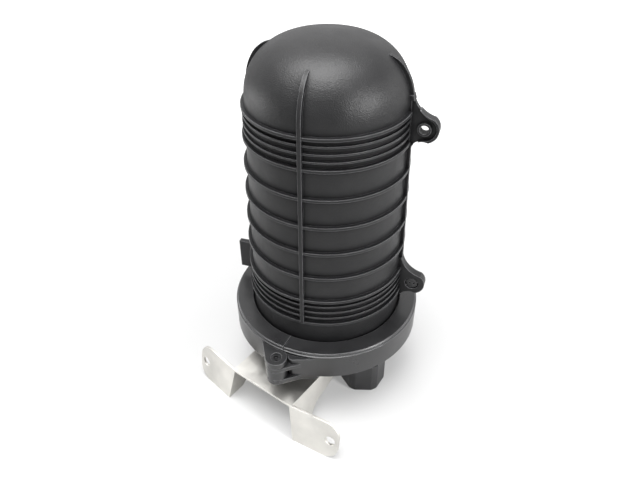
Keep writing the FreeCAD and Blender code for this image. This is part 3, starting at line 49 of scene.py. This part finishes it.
# Colours of the mouldings, each with the colour of its worn patches
DOME_BLACK = ((0.009, 0.009, 0.0097, 1), (0.013, 0.013, 0.0138, 1))
BASE_BLACK = ((0.015, 0.015, 0.0162, 1), (0.026, 0.026, 0.0275, 1))
CLAMP_BLACK = ((0.010, 0.010, 0.0108, 1), (0.015, 0.015, 0.016, 1))
HOLDER_GREY = ((0.05, 0.05, 0.052, 1), (0.06, 0.06, 0.062, 1))
PLUG_GREY = ((0.018, 0.018, 0.019, 1), (0.024, 0.024, 0.025, 1))
TRAY_WHITE = ((0.72, 0.72, 0.70, 1), (0.66, 0.66, 0.63, 1))
# Paler grey for the outer edges: a painted highlight
PAINTED_EDGE_HIGHLIGHT = (0.23, 0.23, 0.239, 1)

# Colours of everything else
RUBBER_BLACK = (0.016, 0.016, 0.016, 1)
LID_CLEAR = (0.86, 0.89, 0.90, 1)
STEEL = (0.78, 0.765, 0.725, 1)
PIN_STEEL = (0.52, 0.52, 0.51, 1)
DARK_STEEL = (0.085, 0.085, 0.088, 1)
TAPE_BLACK = (0.02, 0.02, 0.02, 1)
TAPE_GREY = (0.05, 0.05, 0.05, 1)
STEEL_CLOUD = 0.76

# Noise: its useful range, cells per metre of each kind, and how many grains a broad wave spans
NOISE_RANGE = (0.3, 0.7)
ROUGH_PATCHES = 38.0
WORN_PATCHES = 60.0
GRAINS_PER_WAVE = 22
LINES_LONG = 40.0
LINES_FINE = 2200.0
TURNING_MARKS = (300.0, 300.0, 2400.0)
TAPE_WEAVE = (200.0, 200.0, 1500.0)

# Painted highlight on the outer edges and painted shade in the corners: ranges of the normals' agreement and
# of openness, and shares of the shine
EDGE_ROUGHNESS = 0.24
EDGE_AGREEMENT = (0.84, 0.98)
EDGE_OPENNESS = (0.62, 0.80)
CORNER_OPENNESS = (0.45, 0.95)
# Share of the shine left down in the corners, a painted shade
SHADED_CORNER_SHINE = 0.25
OPEN_SHINE = 1.15
CORNER_REACH = 0.007
CORNER_SAMPLES = 6
BEVEL_SAMPLES = 4

# First input and output of a mix node, for each kind of value
MIX_SOCKETS = {"RGBA": (6, 2), "FLOAT": (2, 0)}


def add_camera():
    data = bpy.data.cameras.new("camera")
    data.lens = LENS
    data.sensor_width = SENSOR
    data.clip_start = CAMERA_CLIP
    forward = Vector(CAMERA_FORWARD).normalized()
    right = forward.cross(Vector(CAMERA_UP)).normalized()
    up = right.cross(forward)
    camera = bpy.data.objects.new("camera", data)
    turn = Matrix((right, up, -forward)).transposed().to_4x4()
    camera.matrix_world = Matrix.Translation(CAMERA_PLACE) @ turn
    bpy.context.scene.collection.objects.link(camera)
    bpy.context.scene.camera = camera


def add_area_light(name, place, aim, size, power):
    data = bpy.data.lights.new(name, "AREA")
    data.shape = "RECTANGLE"
    data.size, data.size_y = size
    data.energy = power
    lamp = bpy.data.objects.new(name, data)
    turn = (Vector(aim) - Vector(place)).to_track_quat("-Z", "Y").to_matrix().to_4x4()
    lamp.matrix_world = Matrix.Translation(place) @ turn
    bpy.context.scene.collection.objects.link(lamp)


def feed(tree, part, socket):
    """Link a socket, or set the number or colour that stands in its place."""
    if isinstance(part, bpy.types.NodeSocket):
        tree.links.new(part, socket)
    else:
        socket.default_value = part


def multiply_add(tree, value, factor, addend):
    """Socket of value * factor + addend, each of them a socket or a number."""
    node = tree.nodes.new("ShaderNodeMath")
    node.operation = "MULTIPLY_ADD"
    for socket, part in zip(node.inputs, (value, factor, addend)):
        feed(tree, part, socket)
    return node.outputs["Value"]


def map_range(tree, value, source, target):
    """Socket of value, carried from the source range to the target range and held inside it."""
    node = tree.nodes.new("ShaderNodeMapRange")
    for name, number in zip(("From Min", "From Max", "To Min", "To Max"), source + target):
        node.inputs[name].default_value = number
    tree.links.new(value, node.inputs["Value"])
    return node.outputs["Result"]


def add_world():
    """White to the camera, in reflections and through clear pieces, and a low fill for everything else."""
    world = bpy.data.worlds.new("studio")
    bpy.context.scene.world = world
    world.use_nodes = True
    tree = world.node_tree
    tree.nodes.clear()
    path = tree.nodes.new("ShaderNodeLightPath")
    light = multiply_add(tree, path.outputs["Is Camera Ray"], WORLD_WHITE - WORLD_FILL, WORLD_FILL)
    light = multiply_add(tree, path.outputs["Is Glossy Ray"], WORLD_SHINE - WORLD_FILL, light)
    light = multiply_add(tree, path.outputs["Is Transmission Ray"], WORLD_WHITE - WORLD_FILL, light)
    back = tree.nodes.new("ShaderNodeBackground")
    back.inputs["Color"].default_value = (1, 1, 1, 1)
    out = tree.nodes.new("ShaderNodeOutputWorld")
    tree.links.new(light, back.inputs["Strength"])
    tree.links.new(back.outputs["Background"], out.inputs["Surface"])


def floor_material():
    """Pale matt floor, with a glow for the camera that grows away from the part and an even one mirrored."""
    material = bpy.data.materials.new("floor_white")
    material.use_nodes = True
    tree = material.node_tree
    tree.nodes.clear()
    path = tree.nodes.new("ShaderNodeLightPath")
    reach = tree.nodes.new("ShaderNodeVectorMath")
    reach.operation = "LENGTH"
    tree.links.new(tree.nodes.new("ShaderNodeTexCoord").outputs["Object"], reach.inputs[0])
    seen = map_range(tree, reach.outputs["Value"], FLOOR_REACH, FLOOR_GLOW)
    diffuse = tree.nodes.new("ShaderNodeBsdfDiffuse")
    diffuse.inputs["Color"].default_value = FLOOR_PALE
    glow = tree.nodes.new("ShaderNodeEmission")
    mirrored = multiply_add(tree, path.outputs["Is Glossy Ray"], FLOOR_SHINE, 0.0)
    strength = multiply_add(tree, path.outputs["Is Camera Ray"], seen, mirrored)
    tree.links.new(strength, glow.inputs["Strength"])
    both = tree.nodes.new("ShaderNodeAddShader")
    out = tree.nodes.new("ShaderNodeOutputMaterial")
    tree.links.new(diffuse.outputs["BSDF"], both.inputs[0])
    tree.links.new(glow.outputs["Emission"], both.inputs[1])
    tree.links.new(both.outputs["Shader"], out.inputs["Surface"])
    return material


def add_floor():
    """White floor that keeps the shadow near the part and turns pure white far from it."""
    mesh = bpy.data.meshes.new("floor")
    half = FLOOR_SIZE / 2
    corners = [(-half, -half, 0), (half, -half, 0), (half, half, 0), (-half, half, 0)]
    mesh.from_pydata(corners, [], [(0, 1, 2, 3)])
    floor = bpy.data.objects.new("floor", mesh)
    bpy.context.scene.collection.objects.link(floor)
    mesh.materials.append(floor_material())


class Finish:
    """A material with object coordinates in metres and one main shader."""

    def __init__(self, name, colour, roughness, metallic=0.0, specular=0.5):
        self.material = bpy.data.materials.new(name)
        self.material.use_nodes = True
        self.tree = self.material.node_tree
        self.shader = self.tree.nodes["Principled BSDF"]
        self.shader.inputs["Base Color"].default_value = colour
        self.shader.inputs["Roughness"].default_value = roughness
        self.shader.inputs["Metallic"].default_value = metallic
        self.shader.inputs["Specular IOR Level"].default_value = specular
        self.colour = colour
        self.place = self.tree.nodes.new("ShaderNodeTexCoord").outputs["Object"]
        self.normal = None

    def drive(self, value, name):
        """Link a socket to an input of the main shader."""
        self.tree.links.new(value, self.shader.inputs[name])

    def noise(self, scale, detail, stretch=None):
        """Socket of noise with this many cells a metre, or this many times stretch where that is given."""
        texture = self.tree.nodes.new("ShaderNodeTexNoise")
        texture.inputs["Scale"].default_value = scale
        texture.inputs["Detail"].default_value = detail
        place = self.place
        if stretch:
            mapping = self.tree.nodes.new("ShaderNodeMapping")
            mapping.inputs["Scale"].default_value = stretch
            self.tree.links.new(place, mapping.inputs["Vector"])
            place = mapping.outputs["Vector"]
        self.tree.links.new(place, texture.inputs["Vector"])
        return texture.outputs["Fac"]

    def spread(self, value, low, high, source=NOISE_RANGE):
        return map_range(self.tree, value, source, (low, high))

    def blend(self, kind, first, second, share):
        """Socket that runs from first to second as share goes from 0 to 1."""
        mix = self.tree.nodes.new("ShaderNodeMix")
        mix.data_type = kind
        start, result = MIX_SOCKETS[kind]
        feed(self.tree, first, mix.inputs[start])
        feed(self.tree, second, mix.inputs[start + 1])
        self.tree.links.new(share, mix.inputs[0])
        return mix.outputs[result]

    def roughen(self, value, low, high):
        self.drive(self.spread(value, low, high), "Roughness")

    def tint(self, value, other):
        self.drive(self.blend("RGBA", self.colour, other, self.spread(value, 0.0, 1.0)), "Base Color")

    def soften(self, radius):
        """Round the edges' shading by this radius."""
        bevel = self.tree.nodes.new("ShaderNodeBevel")
        bevel.samples = BEVEL_SAMPLES
        bevel.inputs["Radius"].default_value = radius
        self.normal = bevel.outputs["Normal"]
        self.drive(self.normal, "Normal")

    def paint_edge_highlight_and_corner_shade(self, colour, specular):
        """Paler, smoother plastic on the outer edges as a painted highlight, and less shine down in the
        corners as painted shade.
        """
        own = self.tree.nodes.new("ShaderNodeNewGeometry").outputs["Normal"]
        agree = self.tree.nodes.new("ShaderNodeVectorMath")
        agree.operation = "DOT_PRODUCT"
        self.tree.links.new(self.normal, agree.inputs[0])
        self.tree.links.new(own, agree.inputs[1])
        corner = self.tree.nodes.new("ShaderNodeAmbientOcclusion")
        corner.samples = CORNER_SAMPLES
        corner.only_local = True
        corner.inputs["Distance"].default_value = CORNER_REACH
        openness = corner.outputs["AO"]
        edge = self.spread(agree.outputs["Value"], 1.0, 0.0, EDGE_AGREEMENT)
        highlight_mask = multiply_add(self.tree, edge, self.spread(openness, 0.0, 1.0, EDGE_OPENNESS), 0.0)
        # Painted shade: less shine in the corners, more in open places
        shine = self.spread(openness, SHADED_CORNER_SHINE * specular, OPEN_SHINE * specular, CORNER_OPENNESS)
        self.drive(shine, "Specular IOR Level")
        # Painted highlight: the outer edges turn paler and smoother
        for name, kind, other in (("Base Color", "RGBA", colour), ("Roughness", "FLOAT", EDGE_ROUGHNESS)):
            plain = self.shader.inputs[name].links[0].from_socket
            self.drive(self.blend(kind, plain, other, highlight_mask), name)

    def emboss(self, value, height, strength=1.0):
        bump = self.tree.nodes.new("ShaderNodeBump")
        bump.inputs["Distance"].default_value = height
        bump.inputs["Strength"].default_value = strength
        self.tree.links.new(value, bump.inputs["Height"])
        if self.normal:
            self.tree.links.new(self.normal, bump.inputs["Normal"])
        self.normal = bump.outputs["Normal"]
        self.drive(self.normal, "Normal")


def moulded(name, colours, roughness, grain, height, edge=0.0007, specular=0.5):
    """Moulded plastic with a fine leathery grain, slightly worn patches and softened edges."""
    plain, worn = colours
    finish = Finish(name, plain, roughness, specular=specular)
    finish.soften(edge)
    finish.roughen(finish.noise(ROUGH_PATCHES, detail=3.0), roughness - 0.05, roughness + 0.07)
    finish.tint(finish.noise(WORN_PATCHES, detail=4.0), worn)
    # Outer edges painted paler as a painted highlight, and shine lowered in the corners as painted shade
    finish.paint_edge_highlight_and_corner_shade(PAINTED_EDGE_HIGHLIGHT, specular)
    finish.emboss(finish.noise(grain, detail=3.0), height)
    finish.emboss(finish.noise(grain / GRAINS_PER_WAVE, detail=2.0), height * 2.2, strength=0.6)
    return finish.material


def sheet_steel(name, roughness, lines):
    """Rolled stainless sheet: faint lines along the rolling direction and cloudy handling marks."""
    finish = Finish(name, STEEL, roughness, metallic=1.0)
    finish.soften(0.0005)
    finish.emboss(finish.noise(1.0, detail=3.0, stretch=lines), height=0.00004)
    finish.roughen(finish.noise(55.0, detail=4.0), roughness - 0.08, roughness + 0.12)
    finish.tint(finish.noise(30.0, detail=3.0), tuple(STEEL_CLOUD * part for part in STEEL[:3]) + (1,))
    return finish.material


def turned_steel(name, colour):
    finish = Finish(name, colour, roughness=0.32, metallic=1.0)
    finish.soften(0.0003)
    finish.emboss(finish.noise(1.0, detail=2.0, stretch=TURNING_MARKS), height=0.00002)
    finish.roughen(finish.noise(240.0, detail=3.0), low=0.26, high=0.42)
    return finish.material


def rubber(name):
    finish = Finish(name, RUBBER_BLACK, roughness=0.72)
    finish.soften(0.0004)
    finish.emboss(finish.noise(1800.0, detail=2.0), height=0.00003)
    finish.roughen(finish.noise(120.0, detail=3.0), low=0.66, high=0.82)
    return finish.material


def clear_sheet(name):
    finish = Finish(name, LID_CLEAR, roughness=0.18)
    finish.shader.inputs["Transmission Weight"].default_value = 0.75
    finish.shader.inputs["IOR"].default_value = 1.49
    finish.roughen(finish.noise(90.0, detail=3.0), low=0.14, high=0.26)
    finish.emboss(finish.noise(40.0, detail=2.0), height=0.00005)
    return finish.material


def hook_tape(name):
    finish = Finish(name, TAPE_BLACK, roughness=0.9)
    finish.emboss(finish.noise(1400.0, detail=1.0), height=0.0002)
    finish.emboss(finish.noise(1.0, detail=1.0, stretch=TAPE_WEAVE), height=0.0002)
    finish.tint(finish.noise(900.0, detail=2.0), TAPE_GREY)
    return finish.material


def dress():
    """Give each piece's material slots its finish."""
    dome = moulded("dome_plastic", DOME_BLACK, roughness=0.38, grain=1050.0, height=0.00030,
                   edge=0.0009, specular=0.33)
    base = moulded("base_plastic", BASE_BLACK, roughness=0.40, grain=1300.0, height=0.00009)
    clamp = moulded("clamp_plastic", CLAMP_BLACK, roughness=0.30, grain=1500.0, height=0.00003,
                    edge=0.0009, specular=0.68)
    holder = moulded("holder_plastic", HOLDER_GREY, roughness=0.42, grain=1500.0, height=0.00004)
    plug = moulded("plug_plastic", PLUG_GREY, roughness=0.26, grain=1500.0, height=0.00002)
    tray = moulded("tray_plastic", TRAY_WHITE, roughness=0.4, grain=1500.0, height=0.00002)
    bracket = sheet_steel("bracket_steel", 0.42, (LINES_LONG, LINES_FINE, LINES_FINE))
    inner_sheet = sheet_steel("frame_steel", 0.36, (LINES_FINE, LINES_FINE, LINES_LONG))
    pins = turned_steel("pin_steel", PIN_STEEL)
    seals = rubber("seal_rubber")
    finishes = {
        "dome": dome, "base": base, "base_seal": seals, "clamp_right": clamp, "clamp_left": clamp,
        "hinge_pin": turned_steel("dark_pin_steel", DARK_STEEL), "latch_handle": clamp, "handle_pin": pins,
        "latch_bail": pins, "port_nuts": base, "port_seals": seals, "port_blanks": base,
        "oval_port_cap": base, "bracket": bracket, "bracket_screws": pins, "bracket_washers": pins,
        "frame_screws": pins, "clamp_screws": pins, "lug_plug": plug, "support_frame": inner_sheet,
        "tray_holder": holder, "tray_1": tray, "tray_2": tray, "tray_3": tray, "tray_4": tray,
        "tray_pins": pins, "tray_cover": clear_sheet("lid_clear"), "tray_strap": hook_tape("tape_fabric"),
        "loop_basket": holder, "cable_clamps": inner_sheet,
    }
    for name, finish in finishes.items():
        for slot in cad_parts[name].material_slots:
            slot.material = finish


scene = bpy.context.scene
scene.view_settings.view_transform = "Standard"
add_camera()
add_world()
add_floor()
for light in LIGHTS:
    add_area_light(*light)
dress()
